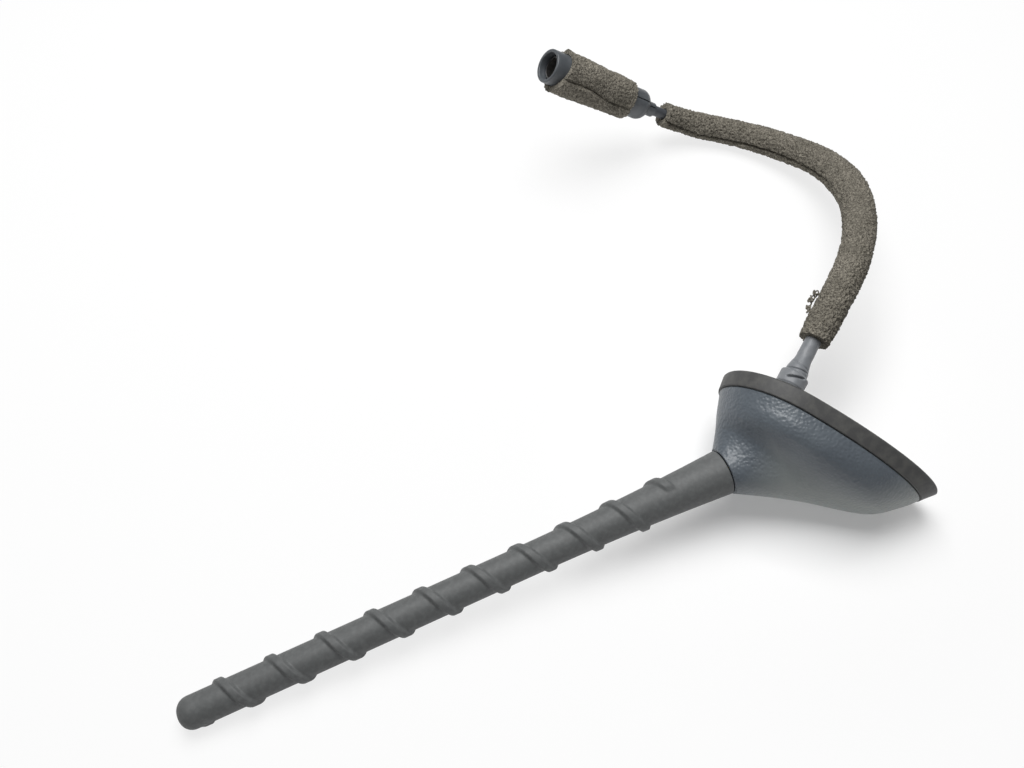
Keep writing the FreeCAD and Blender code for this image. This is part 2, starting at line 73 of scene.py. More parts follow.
def smooth(low, high, x):
    """0 below low, 1 above high, and a level-ended curve between."""
    share = np.clip((x - low) / (high - low), 0, 1)
    return share * share * (3 - 2 * share)


def bump(distance, width):
    """A bell: 1 where the distance is 0, near 0 once it passes the width."""
    return np.exp(-(distance / width) ** 2)


def spline(knots, values, at):
    """Cubic through the values, with no bend at either end (a natural spline)."""
    knots, values = np.asarray(knots, float), np.asarray(values, float)
    gap, count = np.diff(knots), len(knots)
    system, right = np.eye(count), np.zeros_like(values)
    for i in range(1, count - 1):
        system[i, i - 1:i + 2] = gap[i - 1], 2 * (gap[i - 1] + gap[i]), gap[i]
        after = (values[i + 1] - values[i]) / gap[i]
        before = (values[i] - values[i - 1]) / gap[i - 1]
        right[i] = 6 * (after - before)
    bend = np.linalg.solve(system, right)
    i = np.clip(np.searchsorted(knots, at) - 1, 0, count - 2)
    step = gap[i].reshape(-1, *[1] * (values.ndim - 1))
    b = (np.asarray(at) - knots[i]).reshape(step.shape) / step
    a = 1 - b
    return (a * values[i] + b * values[i + 1]
            + ((a ** 3 - a) * bend[i] + (b ** 3 - b) * bend[i + 1]) * step ** 2 / 6)


print("mid grey in linear light:", round(linear("#808080")[0], 3))


# %% Noise in space
HASH_STEPS = np.array([73856093, 19349663, 83492791])
HASH_SALT, HASH_FIRST, HASH_SECOND, HASH_MASK = 7919, 1274126177, 1103515245, 0x7FFFFFFF


def lattice(corner, salt):
    """A repeatable random number from 0 to 1 for each whole-numbered corner, by mixing its bits."""
    h = corner.astype(np.int64) @ HASH_STEPS + salt * HASH_SALT
    h = ((h ^ (h >> 13)) * HASH_FIRST) & HASH_MASK
    h = ((h ^ (h >> 15)) * HASH_SECOND) & HASH_MASK
    return (h >> 7) / float(HASH_MASK >> 7)


CORNERS = np.array(np.meshgrid([0, 1], [0, 1], [0, 1])).reshape(3, -1).T
AROUND = np.array(np.meshgrid([-1, 0, 1], [-1, 0, 1], [-1, 0, 1])).reshape(3, -1).T


def soft_noise(points, size, salt=0):
    """From -1 to 1: random values at the corners of cubes of that size, blended inside each."""
    cell = np.floor(points / size)
    share = smooth(0, 1, points / size - cell)
    total = 0
    for corner in CORNERS:
        weight = np.prod(np.where(corner == 1, share, 1 - share), axis=-1)
        total = total + weight * lattice(cell + corner, salt)
    return 2 * total - 1


def cell_noise(points, size, salt=0):
    """Distance to the nearest of one random seed in each cube: 0 at a seed, near 1 between."""
    cell = np.floor(points / size)
    nearest = np.full(points.shape[:-1], np.inf)
    for corner in AROUND:
        here = cell + corner
        seed = here + np.stack([lattice(here, salt + k) for k in (11, 23, 37)], axis=-1)
        nearest = np.minimum(nearest, np.linalg.norm(points / size - seed, axis=-1))
    return nearest


def lumps(points, layers):
    """Swellings: a sum of soft noises, each row giving a height, a size and a salt."""
    return sum(height * soft_noise(points, size, salt) for height, size, salt in layers)


def pits(points, layers):
    """Pores: each row gives a depth, the distances from a seed where a pit starts to rise and
    where it ends, a size and a salt."""
    return sum(depth * (1 - smooth(low, high, cell_noise(points, size, salt)))
               for depth, low, high, size, salt in layers)


print("soft noise at one point:", soft_noise(np.array([[1.0, 2.0, 3.0]]), 2.0).round(3))


# %% [markdown]
# ## One mesh maker
# Every piece here is a stack of closed rings: a mast, a tube or a cover is a ring that changes as
# it goes along. Screw and Skin modifiers could make some of them, but not the ribs and the pores,
# so one function makes all the meshes. It joins each ring to the next with quads, and either joins
# the last ring to the first, as in a doughnut, or closes both ends with a fan.

# %% Rings to a mesh
def skin(name, rings, body, stands_for=(), doughnut=False, sharp=40):
    """A closed skin over rings[i, j], point j of ring i, in millimetres."""
    count, around = rings.shape[:2]
    ids = np.arange(count * around).reshape(count, around)
    if doughnut:
        ids = np.vstack([ids, ids[:1]])
    beside = np.roll(ids, -1, axis=1)
    quads = np.stack([ids[:-1], beside[:-1], beside[1:], ids[1:]], axis=-1).reshape(-1, 4)
    points, fans = rings.reshape(-1, 3), np.zeros((0, 3), int)
    if not doughnut:
        middles = np.stack([rings[0].mean(axis=0), rings[-1].mean(axis=0)])
        first, last = len(points), len(points) + 1
        points = np.vstack([points, middles])
        fans = np.vstack([
            np.stack([beside[0], ids[0], np.full(around, first)], axis=-1),
            np.stack([ids[-1], beside[-1], np.full(around, last)], axis=-1),
        ])
    triangles = np.vstack([quads[:, :3], quads[:, [0, 2, 3]], fans])
    a, b, c = (points[triangles[:, k]] for k in range(3))
    if np.einsum("ij,ij->i", a, np.cross(b, c)).sum() < 0:
        quads, fans = quads[:, ::-1], fans[:, ::-1]
    mesh = bpy.data.meshes.new(name)
    mesh.from_pydata((points * MM).tolist(), [], quads.tolist() + fans.tolist())
    mesh.shade_smooth()
    mesh.set_sharp_from_angle(angle=math.radians(sharp))
    piece = bpy.data.objects.new(name, mesh)
    bpy.context.scene.collection.objects.link(piece)
    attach(piece, body)
    if stands_for:
        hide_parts(*stands_for)
    print(name, "rings", count, "around", around)
    return piece


def around(count):
    """Angles of the points of a ring."""
    return np.linspace(0, 2 * np.pi, count, endpoint=False)


def turned_rings(radius, height, turn, place):
    """Rings about a local Z: point (radius cos, radius sin, height), carried to its place."""
    radius, height, turn = np.broadcast_arrays(radius, height, turn)
    local = np.stack([radius * np.cos(turn), radius * np.sin(turn), height], axis=-1)
    origin, axes = place
    return np.asarray(origin) + local @ np.asarray(axes)


def tube_rings(path, radius, turn, reference):
    """Rings square to a path, each angle counted from the reference direction."""
    ahead = unit(np.gradient(path, axis=0))
    side = unit(np.cross(ahead, reference))
    lift = np.cross(side, ahead)
    out = np.cos(turn)[None, :, None] * lift[:, None] + np.sin(turn)[None, :, None] * side[:, None]
    return path[:, None] + radius[..., None] * out


print("a ring of 8 points turns by", math.degrees(around(8)[1]), "degrees a point")

# %% [markdown]
# ## Finishes
# A finish is a colour, a roughness and a small relief. The relief comes from noise in Object
# coordinates, which are metres, so a grain of 0.8 mm is written as 0.8 mm. Two colours mixed by a
# slower noise stand for dust and wear: nothing that has been on a car roof is one flat colour. A
# painted image could do the same, but noise has no seams and stays sharp at any distance.

# %% Material tools
def add(tree, kind, links=None, **settings):
    """One shader node: settings are its own properties, links its inputs, as numbers or sockets."""
    node = tree.nodes.new(kind)
    for key, value in settings.items():
        setattr(node, key, value)
    for key, value in (links or {}).items():
        if isinstance(value, bpy.types.NodeSocket):
            tree.links.new(value, node.inputs[key])
        else:
            node.inputs[key].default_value = value
    return node


def finish(name, colour, roughness, metal=0.0, ior=1.5):
    """A material with one Principled shader, and its tree to build on."""
    material = bpy.data.materials.new(name)
    material.use_nodes = True
    shader = material.node_tree.nodes["Principled BSDF"]
    shader.inputs["Base Color"].default_value = linear(colour)
    shader.inputs["Roughness"].default_value = roughness
    shader.inputs["Metallic"].default_value = metal
    shader.inputs["IOR"].default_value = ior
    return material, material.node_tree, shader


PATCH_EDGES = (0.42, 0.68)  # the part of the noise's range over which patches fade in


def worn(material_parts, other, patch_mm, amount, grain_mm, depth_mm, cells=False):
    """Adds patches of a second colour and a fine relief to a finish."""
    material, tree, shader = material_parts
    where = add(tree, "ShaderNodeTexCoord").outputs["Object"]
    patch = add(tree, "ShaderNodeTexNoise", {
        "Vector": where, "Scale": 1 / (patch_mm * MM), "Detail": 5.0})
    share = add(tree, "ShaderNodeMapRange", {
        "Value": patch.outputs["Fac"], "From Min": PATCH_EDGES[0], "From Max": PATCH_EDGES[1],
        "To Max": amount})
    mix = add(tree, "ShaderNodeMix", {"Factor": share.outputs["Result"]}, data_type="RGBA")
    mix.inputs["A"].default_value = shader.inputs["Base Color"].default_value
    mix.inputs["B"].default_value = linear(other)
    tree.links.new(mix.outputs["Result"], shader.inputs["Base Color"])
    if cells:
        grain = add(tree, "ShaderNodeTexVoronoi", {"Vector": where, "Scale": 1 / (grain_mm * MM)},
                    feature="SMOOTH_F1").outputs["Distance"]
    else:
        grain = add(tree, "ShaderNodeTexNoise", {
            "Vector": where, "Scale": 1 / (grain_mm * MM), "Detail": 3.0}).outputs["Fac"]
    relief = add(tree, "ShaderNodeBump", {
        "Height": grain, "Strength": 1.0, "Distance": depth_mm * MM})
    tree.links.new(relief.outputs["Normal"], shader.inputs["Normal"])
    return material


def sun_bleach_and_painted_light(material, colour, side_mm, rear_mm):
    """Pales a material along the ridge, fading out to the sides and towards the mast: partly sun
    bleaching, partly painted light from the white table below.
    """
    tree = material.node_tree
    base = tree.nodes["Principled BSDF"].inputs["Base Color"]
    where = add(tree, "ShaderNodeTexCoord").outputs["Object"]
    place = add(tree, "ShaderNodeSeparateXYZ", {"Vector": where}).outputs
    aside = add(tree, "ShaderNodeMath", {0: place["Y"]}, operation="ABSOLUTE").outputs["Value"]
    fades = [add(tree, "ShaderNodeMapRange", {
        "Value": value, "From Min": start * MM, "From Max": end * MM}).outputs["Result"]
        for value, (start, end) in ((aside, side_mm), (place["X"], rear_mm))]
    share = add(tree, "ShaderNodeMath", dict(enumerate(fades)),
                operation="MAXIMUM").outputs["Value"]
    # the pale colour on the ridge is partly sun bleaching, partly painted light from the table
    mix = add(tree, "ShaderNodeMix", {"Factor": share}, data_type="RGBA")
    mix.inputs["A"].default_value = linear(colour)
    tree.links.new(base.links[0].from_socket, mix.inputs["B"])
    tree.links.new(mix.outputs["Result"], base)


# %% Rubber and plastic
# moulded rubber, black once, now greyed by the sun: dull, with a mottled bloom, no clear highlight
mast_rubber = worn(finish("weathered EPDM rubber", "#595b5b", 0.6, ior=1.52),
                   "#6b6d6d", patch_mm=1.5, amount=0.5, grain_mm=0.5, depth_mm=0.05)
# moulded ABS with a leather grain: the grain breaks up the highlight on the steep side
cover_plastic = worn(finish("grained ABS", "#585f66", 0.4, ior=1.54),
                     "#687076", patch_mm=14, amount=0.5, grain_mm=1.0, depth_mm=0.24, cells=True)
# the ridge faces the sky on a roof, so the sun has bleached it more than the sides; the paler
# ridge is also painted light, standing for light thrown up by the white table below
sun_bleach_and_painted_light(cover_plastic, "#848988", side_mm=(8, 17), rear_mm=(14, -2))
# soft moulded sealing rubber: darker and duller than the cover, a little dusty
gasket_rubber = worn(finish("moulded sealing rubber", "#444444", 0.6, ior=1.52),
                     "#575754", patch_mm=3, amount=0.7, grain_mm=0.7, depth_mm=0.05)
# a pressed O-ring keeps its black, because no sun reaches it
seal_rubber = worn(finish("nitrile rubber", "#2b2b2c", 0.5, ior=1.52),
                   "#363637", patch_mm=4, amount=0.5, grain_mm=0.4, depth_mm=0.01)
# heat-shrunk tube: a smooth grey skin with a soft sheen along it
shrink_tube = worn(finish("shrunk polyolefin tube", "#787b7f", 0.45),
                   "#8b8d90", patch_mm=5, amount=0.5, grain_mm=0.6, depth_mm=0.03)
# extruded PVC jacket: near black and satin, with a thin line of light along the cable
cable_jacket = worn(finish("extruded PVC", "#45484d", 0.42, ior=1.53),
                    "#53565a", patch_mm=6, amount=0.5, grain_mm=0.5, depth_mm=0.01)
# moulded connector plastic: blue-grey and satin, lightly scuffed
connector_plastic = worn(finish("moulded PBT", "#4a4e52", 0.42, ior=1.57),
                         "#5f6367", patch_mm=5, amount=0.5, grain_mm=0.5, depth_mm=0.02)
# the insulator is smooth and waxy, and lies in the dark of the mouth
insulator_plastic = worn(finish("turned polyethylene", "#3a3b3d", 0.4, ior=1.51),
                         "#46474a", patch_mm=4, amount=0.4, grain_mm=0.4, depth_mm=0.01)
print("rubber:", mast_rubber.name, gasket_rubber.name, seal_rubber.name, sep=" / ")
print("plastic:", cover_plastic.name, shrink_tube.name, cable_jacket.name, connector_plastic.name,
      insulator_plastic.name, sep=" / ")

# %% Foam
# foam with open cells has no shine: the eye sees a grey that fizzes with pale strands and dark
# pores, whose dark is painted shade in the holes, drawn as coarse as they have to be to show from
# the camera
pore_mm, strand_mm, dust_mm, pore_depth_mm = 0.6, 0.35, 7.0, 0.3
strand_edges = (0.5, 1.25)  # the sum of both noises where a pore ends and where a strand is full
pore_shade, foam_clean, foam_dusty = "#3d3a34", "#706c62", "#a19b8f"


def foam_finish():
    """Open foam: dark pores, which are painted shade, between paler strands, over patches that are
    more or less dusty.
    """
    material, tree, shader = finish("open cell polyurethane foam", foam_clean, 0.95)
    where = add(tree, "ShaderNodeTexCoord").outputs["Object"]
    pores = add(tree, "ShaderNodeTexVoronoi", {"Vector": where, "Scale": 1 / (pore_mm * MM)})
    fine = add(tree, "ShaderNodeTexNoise", {
        "Vector": where, "Scale": 1 / (strand_mm * MM), "Detail": 2.0})
    patch = add(tree, "ShaderNodeTexNoise", {
        "Vector": where, "Scale": 1 / (dust_mm * MM), "Detail": 4.0})
    both = add(tree, "ShaderNodeMath", {0: pores.outputs["Distance"], 1: fine.outputs["Fac"]})
    strand = add(tree, "ShaderNodeMapRange", {
        "Value": both.outputs["Value"], "From Min": strand_edges[0], "From Max": strand_edges[1]})
    dusty = add(tree, "ShaderNodeMix", {"Factor": patch.outputs["Fac"]}, data_type="RGBA")
    dusty.inputs["A"].default_value = linear(foam_clean)
    dusty.inputs["B"].default_value = linear(foam_dusty)
    # the pores take the dark colour: painted shade in the holes
    colour = add(tree, "ShaderNodeMix", {"Factor": strand.outputs["Result"]}, data_type="RGBA")
    colour.inputs["A"].default_value = linear(pore_shade)
    tree.links.new(dusty.outputs["Result"], colour.inputs["B"])
    tree.links.new(colour.outputs["Result"], shader.inputs["Base Color"])
    relief = add(tree, "ShaderNodeBump", {
        "Height": strand.outputs["Result"], "Strength": 1.0, "Distance": pore_depth_mm * MM})
    tree.links.new(relief.outputs["Normal"], shader.inputs["Normal"])
    shader.inputs["Specular IOR Level"].default_value = 0.15
    return material


foam = foam_finish()
print("foam finish:", len(foam.node_tree.nodes), "nodes")

# %% Metals and the inside
# most of these lie inside the closed base and show only when the part is taken apart
# turned brass: warm yellow, with a clear highlight
brass = worn(finish("turned brass", "#b08d4a", 0.3, 1.0), "#8f7340", 4, 0.4, 0.3, 0.004)
# drawn copper wire, wound close: reddish, with a fine grain across the turns
copper = worn(finish("drawn copper", "#b4714a", 0.32, 1.0), "#8f5a3c", 4, 0.4, 0.4, 0.02)
# rolled spring bronze: browner than brass, smooth
bronze = worn(finish("spring bronze", "#a97f4e", 0.32, 1.0), "#8a6842", 4, 0.4, 0.3, 0.004)
# cast zinc: pale grey with a dull, slightly rough skin
casting = worn(finish("zinc die casting", "#9a9c9e", 0.42, 1.0), "#808284", 5, 0.5, 0.6, 0.02)
# tinned sheet: the brightest of the metals
tinned = worn(finish("tinned steel", "#b9bcbf", 0.28, 1.0), "#9da0a3", 5, 0.4, 0.4, 0.004)
# plated screws: darker grey, with crisp highlights on the heads
screw_steel = worn(finish("zinc plated steel", "#8b8d90", 0.3, 1.0), "#6f7174", 3, 0.4, 0.3, 0.004)
# nickel on the contacts: a neutral grey mirror that mostly shows the dark of the mouth
plated = worn(finish("nickel plate", "#a9a8a6", 0.35, 1.0), "#8b8a88", 3, 0.4, 0.3, 0.004)
# green lacquer on a glass laminate: satin, with a faint weave
board = worn(finish("lacquered glass laminate", "#2f5b3a", 0.4, ior=1.52),
             "#3c6b46", 5, 0.4, 0.5, 0.006)
# drawn rod of glass and resin: straw coloured, silky
glass_fibre = worn(finish("drawn glass fibre rod", "#c9c3a2", 0.45, ior=1.55),
                   "#b4ad8b", 4, 0.5, 0.3, 0.008)

FINISHES = {
    "mast_rubber": mast_rubber, "glass_fibre": glass_fibre, "copper": copper, "brass": brass,
    "seal_rubber": seal_rubber, "cover_plastic": cover_plastic, "gasket_rubber": gasket_rubber,
    "die_casting": casting, "spring_bronze": bronze, "circuit_board": board, "tinned_steel": tinned,
    "screw_steel": screw_steel, "cable_jacket": cable_jacket, "shrink_tube": shrink_tube,
    "foam": foam, "connector_plastic": connector_plastic, "insulator_plastic": insulator_plastic,
    "plated_contact": plated,
}
print("finishes by slot:", ", ".join(FINISHES))


def paint(piece, slot):
    """Gives a piece the one finish that its slot names."""
    piece.data.materials.clear()
    piece.data.materials.append(FINISHES[slot])


# %% [markdown]
# ## The mast
# The sheath is moulded rubber with a spiral rib that keeps the wind from whistling. The rib could
# be a second mesh wound round a plain rod, but a moulded rib has soft feet that run into the rod.
# So the skin is one turned profile, pushed outwards where a point lies near the helix: the distance
# along the mast to the nearest turn of the rib decides the height. The foot flares to meet the
# cover.

# %% Ribbed mast
turn_joint = next(j for j in frame["joints"] if j["name"] == "mast_turn")
mast_axis = unit(turn_joint["axis"])
mast_seat = np.array(turn_joint["pos_m"]) / MM
mast_side = unit(np.cross([0, 1, 0], mast_axis))
MAST = (mast_seat, np.array([mast_side, np.cross(mast_axis, mast_side), mast_axis]))

mast_length, mast_radius, root_radius = 199.0, 5.55, 8.1
flare_length, seam, tip_flat, root_edge = 80.0, 0.35, 1.0, 0.45
rib_pitch, rib_height, rib_base, rib_crown = 17.6, 1.1, 4.4, 2.4
rib_start, rib_end, rib_run_out, rib_angle = 21.2, 192.3, 1.2, math.radians(99)
rib_crown_round = 0.2
mast_rings, mast_points, tip_rings, foot_rings = 560, 120, 24, 6


def mast_profile(count):
    """Radius and height from foot to tip: a small edge, the flare, the shaft and a round tip."""
    dome = mast_radius - tip_flat
    shaft = np.linspace(seam + root_edge, mast_length - dome, count)
    flare = np.clip((flare_length - shaft) / (flare_length - seam), 0, 1) ** 2
    angle = np.linspace(0, np.pi / 2, tip_rings)[1:]
    foot = np.linspace(0, np.pi / 2, foot_rings)[:-1]
    radius = np.concatenate([
        root_radius - root_edge * (1 - np.sin(foot)),
        mast_radius + (root_radius - mast_radius) * flare,
        tip_flat + dome * np.cos(angle)])
    height = np.concatenate([
        seam + root_edge * (1 - np.cos(foot)), shaft, mast_length - dome + dome * np.sin(angle)])
    return radius[:, None], height[:, None]


radius, height = mast_profile(mast_rings)
turn = around(mast_points)[None, :]
phase = (height - rib_start) / rib_pitch - (turn - rib_angle) / (2 * np.pi)
off = (phase - np.round(phase)) * rib_pitch
place_on_rib = height - off
ends = (smooth(0, rib_run_out, place_on_rib - rib_start)
        * smooth(0, rib_run_out, rib_end - place_on_rib))
rib = (1 - smooth(rib_crown / 2 - rib_crown_round, rib_base / 2, np.abs(off))) * ends
mast = skin("ribbed_mast", turned_rings(radius + rib_height * rib, height, turn, MAST),
            "mast", ["mast_sheath"])
paint(mast, "mast_rubber")

# %% [markdown]
# ## The cover and its gasket
# The cover is a moulded shell that starts as an egg-shaped rim and ends as a round boss leaning
# with the mast. Between them the ring shrinks fast at the sides and slowly at the nose, which
# leaves the long spine. A subdivided cage could be pulled to this shape by eye. Instead the same
# few section values as in the CAD are carried through a spline, so the skin fits its solid and has
# no facets.
# The gasket below it is the same outline drawn in by small steps, like a picture frame's moulding.

# %% Egg-shaped rings
STUD = (np.zeros(3), np.eye(3))
base_length, half_width, widest, stud_from_rear, nose_lean = 85.0, 24.4, 26.3, 22.0, 3.2


def egg_rings(rear, front, half, share, turn):
    """Rings of two half ellipses that meet where the egg is widest, at that share of its length."""
    cos, sin = np.cos(turn)[None, :, None], np.sin(turn)[None, :, None]
    share = np.asarray(share, float)[:, None, None]
    long = (front - rear)[:, None]
    reach = np.where(cos >= 0, 1 - share, share)
    across = np.array([0, 1.0, 0]) * np.asarray(half, float)[:, None, None]
    return rear[:, None] + long * (share + reach * cos) + across * sin


def base_rings(insets, heights, leans, turn):
    """The base's outline, drawn in by each inset, at each height, its nose leaning back."""
    insets, heights, leans = (np.asarray(values, float) for values in (insets, heights, leans))
    rear = np.stack([insets - stud_from_rear, 0 * insets, heights], axis=-1)
    nose = base_length - stud_from_rear - insets - leans
    front = np.stack([nose, 0 * insets, heights], axis=-1)
    share = (widest - insets) / (front - rear)[:, 0]
    return egg_rings(rear, front, half_width - insets, share, turn)


print("outline of the base:", base_length, "by", 2 * half_width, "mm")

# %% Cover
cover_inset, cover_wall, rim_height, boss_radius = 1.2, 2.2, 6.0, 8.35
hole_radius, hole_depth, hollow_top_step = 4.9, 9.0, 4
outer_rings, inner_rings, base_points = 150, 40, 240
cover_steps = np.array([
    # rise of the rear, way back of the nose, lift of the nose, swell of the sides
    (0.00, 0.000, 0.000, 1.000),
    (0.12, 0.024, 0.064, 1.000),
    (0.28, 0.098, 0.215, 0.990),
    (0.42, 0.182, 0.365, 0.860),
    (0.56, 0.309, 0.485, 0.480),
    (0.73, 0.567, 0.650, 0.160),
    (0.87, 0.811, 0.835, 0.045),
    (1.00, 1.000, 1.000, 0.000),
])


def cover_rings(wall, steps, turn):
    """The cover's rings at these steps, moved in by a wall."""
    rim_rear = np.array([cover_inset + wall - stud_from_rear, 0, rim_height])
    rim_nose = base_length - stud_from_rear - nose_lean - cover_inset - wall
    rim_front = np.array([rim_nose, 0, rim_height])
    boss = boss_radius - wall
    boss_rear, boss_front = mast_seat - mast_side * boss, mast_seat + mast_side * boss
    rise, back, lift, swell = (steps[:, k:k + 1] for k in range(4))
    rear = rim_rear + (boss_rear - rim_rear) * rise
    front = rim_front + (boss_front - rim_front) * np.hstack([back, 0 * back, lift])
    rim_half = half_width - cover_inset - wall
    start = (widest - cover_inset) / (base_length - nose_lean - 2 * cover_inset)
    half = boss + (rim_half - boss) * swell[:, 0]
    return egg_rings(rear, front, half, start + (0.5 - start) * rise[:, 0], turn)


turn = around(base_points)
reach = np.linalg.norm(np.diff(cover_rings(0, cover_steps, np.zeros(1))[:, 0], axis=0), axis=-1)
knots = np.concatenate([[0], np.cumsum(reach)])
lip, rim_edge = 0.35, 0.45
up = np.linspace(rim_edge, knots[-1], outer_rings)
outer = cover_rings(0, spline(knots, cover_steps, up), turn)
outer[-1] -= mast_axis * lip
rim = base_rings([cover_inset + rim_edge], [rim_height], [nose_lean], turn)
boss = turned_rings([[boss_radius - lip], [hole_radius], [hole_radius]],
                    [[0.0], [0.0], [-hole_depth]], turn[None, :], MAST)
down = np.linspace(knots[hollow_top_step], 0, inner_rings)
inner = cover_rings(cover_wall, spline(knots, cover_steps, down), turn)
cover = skin("cover_shell", np.vstack([rim, outer, boss, inner]), "base",
             ["base_cover"], doughnut=True)
paint(cover, "cover_plastic")

# %% Gasket
gasket_height, gasket_floor, gasket_wall, taper, stud_hole = 6.0, 2.5, 3.2, 0.6, 6.3
relief_radius, relief_depth, lip_radius, crown, edge_rings = 11.0, 0.6, 1.0, 0.4, 7
groove_outside, groove_inside, groove_depth = 3.5, 5.5, 0.8
bend = np.linspace(0, np.pi / 2, edge_rings)
foot = [(lip_radius * (1 - math.sin(a)), lip_radius * (1 - math.cos(a)), 0.0) for a in bend]
top = [(taper + crown * (1 - math.cos(a)), gasket_height - crown * (1 - math.sin(a)), nose_lean)
       for a in bend]
tray = [(gasket_wall, gasket_height, nose_lean), (gasket_wall, gasket_floor, nose_lean)]
groove = [(groove_inside, 0.0, nose_lean), (groove_inside, groove_depth, nose_lean),
          (groove_outside, groove_depth, nose_lean), (groove_outside, 0.0, nose_lean)]
hole = turned_rings([[stud_hole], [stud_hole], [relief_radius], [relief_radius]],
                    [[gasket_floor], [relief_depth], [relief_depth], [0.0]], turn[None, :], STUD)
rings = base_rings(*zip(*(foot + top + tray)), turn)
under = base_rings(*zip(*groove), turn)
gasket = skin("gasket_tray", np.vstack([rings, hole, under]), "base", ["gasket"],
              doughnut=True)
paint(gasket, "gasket_rubber")

# %% [markdown]
# ## The cable
# The cable leaves the stud straight down, bends round and ends in the connector. It could be a
# swept mesh, but a curve with a round bevel keeps its route easy to change. It is one smooth curve
# pulled by listed points, and it is as long as the one in the photograph. Everything that
# sits on the cable is placed along this curve.

# %% Cable
cable_diameter, cable_length, tail_run, in_connector = 4.5, 247.0, 18.0, 10.0
connector_rear = np.array([-97.4, -62.8, -109.9])
connector_mouth = np.array([-141.4, -29.9, -85.5])
connector_axis = unit(connector_mouth - connector_rear)
route = np.array([
    (0, 0, 5), (0, 0, -20), (0.3, -0.3, -45), (1.5, -8.5, -68), (-0.5, -20.5, -88.5),
    (-7, -35.5, -109), (-21, -53, -124), (-43, -66.5, -127.5), (-62, -72.5, -125.5),
    connector_rear - tail_run * connector_axis, connector_rear + in_connector * connector_axis])

curve = bpy.data.curves.new("antenna_lead", "CURVE")
curve.dimensions = "3D"
curve.resolution_u = 24
run = curve.splines.new("NURBS")
run.points.add(len(route) - 1)
run.points.foreach_set("co", np.hstack([route * MM, np.ones((len(route), 1))]).ravel())
run.order_u = 3
run.use_endpoint_u = True
lead = bpy.data.objects.new("antenna_lead", curve)

# while it has no bevel, the curve's mesh is its middle line
line_mesh = bpy.data.meshes.new_from_object(lead)
line = np.zeros(3 * len(line_mesh.vertices))
line_mesh.vertices.foreach_get("co", line)
line = line.reshape(-1, 3) / MM
bpy.data.meshes.remove(line_mesh)
run.points.foreach_set("radius", np.full(len(route), cable_diameter / 2 * MM))
curve.bevel_depth = 1.0
curve.bevel_resolution = 8
curve.use_fill_caps = True
bpy.context.scene.collection.objects.link(lead)
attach(lead, "base")
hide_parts("coax_cable")
paint(lead, "cable_jacket")
travel = np.concatenate([[0], np.cumsum(np.linalg.norm(np.diff(line, axis=0), axis=1))])
print("cable length", round(travel[-1], 1))


def stretch(start, end, count):
    """Points along the cable's own curve, evenly spaced between two lengths."""
    at = np.linspace(start, end, count)
    return np.stack([np.interp(at, travel, line[:, k]) for k in range(3)], axis=-1)


# %% [markdown]
# ## The shrunk tube
# Below the stud a collar steps down to a thin tube shrunk over the cable. Shrunk tube never lies
# quite smooth: it has creases across it and a slit where it was cut. They could be sculpted. Here
# each is a bell-shaped groove round a line on the surface, so its depth and place are one row each.

# %% Boot
boot_top, boot_end, boot_inner = -6.5, -31.0, 2.45
collar_radius, shoulder_radius, tube_radius = 5.3, 4.2, 2.95
collar_end, shoulder_end, taper_end = -11.5, -12.7, -19.7
boot_rows, boot_points, facing = 160, 120, math.radians(102)
collar_wave, collar_wave_turn, rim_rounding, rim_drop = 0.5, 0.6, 0.8, 0.4
crease_reach, slit_reach, slit_turn = (1.3, 0.8), (0.75, 0.5), 0.15
creases = [  # depth, level below the roof, slope round the tube, width
    (0.45, 13.2, -0.5, 0.28),
    (0.25, 15.4, 0.7, 0.30),
]
slit_depth, slit_level, slit_slope, slit_width = 1.2, 9.6, -1.6, 0.35

turn = around(boot_points)[None, :]
aside = turn - facing
height = np.linspace(boot_top, boot_end, boot_rows)[:, None]
wave = height + collar_wave * np.sin(aside - collar_wave_turn)
radius = (tube_radius + (shoulder_radius - tube_radius) * smooth(taper_end, shoulder_end, height)
          + (collar_radius - shoulder_radius) * smooth(shoulder_end, collar_end, wave))
radius = radius - rim_drop * smooth(boot_top - rim_rounding, boot_top, height)
for depth, level, slope, width in creases:
    across = bump(height + level + slope * aside, width)
    radius = radius - depth * smooth(*crease_reach, np.abs(aside)) * across
slit = bump(height + slit_level + slit_slope * aside, slit_width)
radius = radius - slit_depth * smooth(*slit_reach, np.abs(aside + slit_turn)) * slit
plain = turned_rings(radius, height, turn, STUD)
radius = radius + lumps(plain, [(0.12, 3.0, 5), (0.05, 1.2, 6)])
boot_rings = turned_rings(radius, height, turn, STUD)
bore = turned_rings([[boot_inner], [boot_inner]], [[boot_end], [boot_top]], turn, STUD)
boot = skin("shrunk_boot", np.vstack([boot_rings, bore]), "base", ["cable_boot"],
            doughnut=True)
paint(boot, "shrink_tube")

# %% [markdown]
# ## Foam on the cable
# A slit foam tube keeps the cable from rattling on the roof. It swells at the bend, where the foam
# is squeezed out sideways, and thins towards the connector. A displace modifier could roughen a
# plain tube, but here the pores have to be real pits that also break the outline. So they are
# worked out with the shape, at the seeds of a cellular noise. The long cut is a groove along one
# side.

# %% Foam sleeve
table_normal = np.array([-0.23753974, 0.93591257, -0.26008179])
sleeve_start, sleeve_end, sleeve_bore = 32.0, 229.7, 2.6
sleeve_rows, bore_rows, sleeve_points = 620, 24, 120
swell_at, swell_radius = [0, 0.03, 0.3, 0.5, 0.68, 0.9, 1], [5.6, 6.2, 6.5, 7.0, 6.3, 5.7, 5.4]
foam_lumps = [(0.15, 9.0, 3), (0.15, 3.5, 4), (0.25, 0.7, 7)]
foam_pits = [(0.7, 0.1, 0.65, 1.4, 1), (0.45, 0.1, 0.6, 0.8, 2)]
cut_turn, cut_sway, cut_waves, cut_from = math.radians(-92), 0.1, 19, (0.45, 0.6)
cut_depth, cut_width, foam_sharp = 2.0, 0.5, 75

